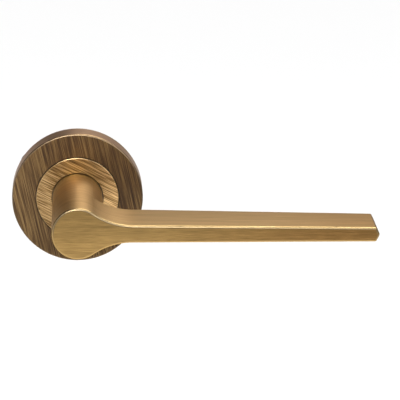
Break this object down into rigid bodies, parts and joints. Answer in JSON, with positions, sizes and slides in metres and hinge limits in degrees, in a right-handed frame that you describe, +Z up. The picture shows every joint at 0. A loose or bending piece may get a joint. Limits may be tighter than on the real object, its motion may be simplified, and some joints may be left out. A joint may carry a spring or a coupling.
{
  "type": "door lever handle",
  "caption": "Sprung door lever handle on a round rose: slim straight lever on a round neck, collar ring, square spindle, concealed mounting plate and bolt-through fixings.",
  "frame": {"origin": "on the lever's turning axis, at the face of the door", "axes": "+X along the lever towards its tip, +Y into the door, +Z up; the handle stands out of the door towards -Y"},
  "size_m": [0.1407, 0.118, 0.052],
  "materials": {
    "satin_brass": "satin antique brass, finely brushed along the lever and round the neck",
    "dark_brass": "dark antique brass, brushed across the face",
    "ring_brass": "lighter antique brass, coarsely brushed",
    "zinc": "die-cast zinc, as cast",
    "steel": "zinc-plated steel, satin",
    "spring_steel": "oiled spring steel",
    "nylon": "moulded nylon, matt",
    "black_nylon": "moulded black nylon, matt",
    "rubber": "black rubber"
  },
  "bodies": {
    "rose": {"mounting_plate": "zinc", "rose_cover": "dark_brass", "collar_ring": "ring_brass", "wear_ring": "black_nylon", "bearing_bush": "nylon", "return_spring": "spring_steel", "cover_o_ring": "rubber", "through_bolt_left": "steel", "through_bolt_right": "steel", "sleeve_nut_left": "steel", "sleeve_nut_right": "steel", "bolt_washer_left": "steel", "bolt_washer_right": "steel"},
    "lever": {"lever": "satin_brass", "spindle": "steel", "grub_screw": "spring_steel", "spring_driver": "steel", "circlip": "spring_steel", "thrust_washer": "steel"}
  },
  "joints": [
    {"name": "lever_turn", "type": "hinge", "parent": "rose", "child": "lever", "pos_m": [0, 0, 0], "axis": [0, 1, 0], "range_deg": [0, 40], "stiffness_Nm_per_rad": 0.7, "springref_deg": -40.11, "deforming": ["return_spring"]}
  ]
}
